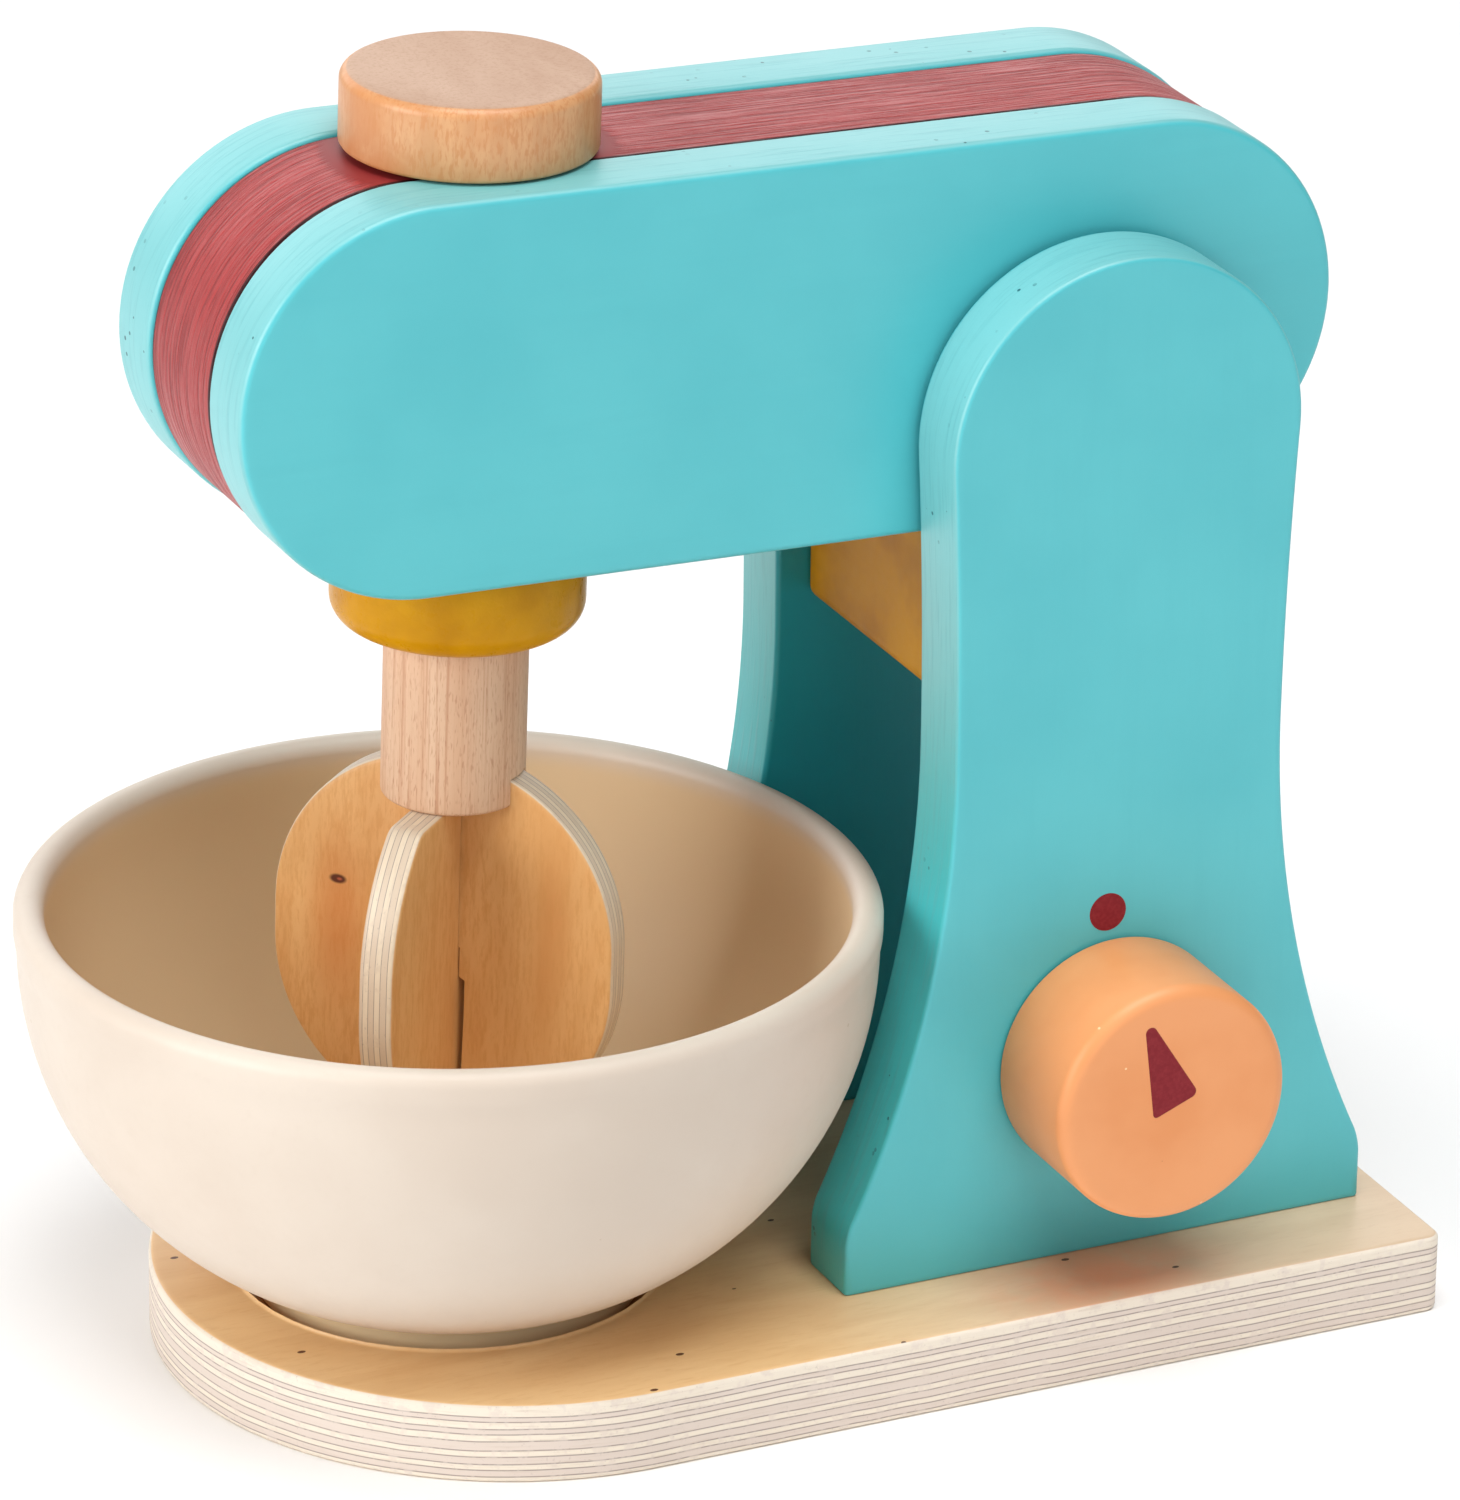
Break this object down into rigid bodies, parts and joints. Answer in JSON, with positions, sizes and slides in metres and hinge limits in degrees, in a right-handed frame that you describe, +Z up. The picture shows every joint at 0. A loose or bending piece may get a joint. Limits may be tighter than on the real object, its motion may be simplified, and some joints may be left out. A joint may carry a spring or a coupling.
{
  "type": "toy stand mixer",
  "caption": "Wooden toy stand mixer with a tilting head, a hand-turned beater, a dial and a loose cream bowl, in teal, red, mustard and plain birch ply.",
  "frame": {"origin": "Middle of the base board's underside, on the table.", "axes": "+X runs from the bowl end to the rear, -Y is the side with the dial, +Z is up."},
  "size_m": [0.2453, 0.154, 0.2394],
  "materials": {
    "birch_ply": "satin",
    "teal_paint": "painted satin",
    "red_paint": "painted satin",
    "mustard_paint": "painted satin",
    "orange_paint": "painted satin",
    "plain_wood": "satin",
    "dowel_wood": "raw",
    "screw_steel": "zinc plated",
    "washer_plastic": "matte",
    "cream_bowl": "satin"
  },
  "bodies": {
    "stand": {"base_board": "birch_ply", "base_screws": "screw_steel", "dial_side_upright": "teal_paint", "plain_side_upright": "teal_paint", "stop_block": "mustard_paint", "block_dowels": "dowel_wood", "pivot_dowel": "dowel_wood", "pivot_washers": "washer_plastic"},
    "head": {"head_core": "red_paint", "dial_side_plate": "teal_paint", "plain_side_plate": "teal_paint", "head_dowels": "dowel_wood"},
    "beater": {"top_knob": "plain_wood", "drive_shaft": "dowel_wood", "collar": "mustard_paint", "beater_dowel": "plain_wood", "first_beater_disc": "birch_ply", "second_beater_disc": "birch_ply"},
    "dial": {"dial_knob": "orange_paint", "dial_axle": "dowel_wood", "dial_retainer": "screw_steel", "dial_screw": "screw_steel"},
    "bowl": {"bowl": "cream_bowl"}
  },
  "joints": [
    {"name": "head_tilt", "type": "hinge", "parent": "stand", "child": "head", "pos_m": [0.06435, 0, 0.1869], "axis": [0, 1, 0], "range_deg": [0, 90]},
    {"name": "beater_spin", "type": "hinge", "parent": "head", "child": "beater", "pos_m": [-0.0549, 0, 0.18981], "axis": [0.0244, 0, 0.9997], "continuous": true},
    {"name": "dial_turn", "type": "hinge", "parent": "stand", "child": "dial", "pos_m": [0.05215, -0.0444, 0.0537], "axis": [0, -1, 0], "continuous": true},
    {"name": "bowl_lift", "type": "slide", "parent": "stand", "child": "bowl", "axis": [0, 0, 1], "range_m": [0, 0.02]}
  ]
}
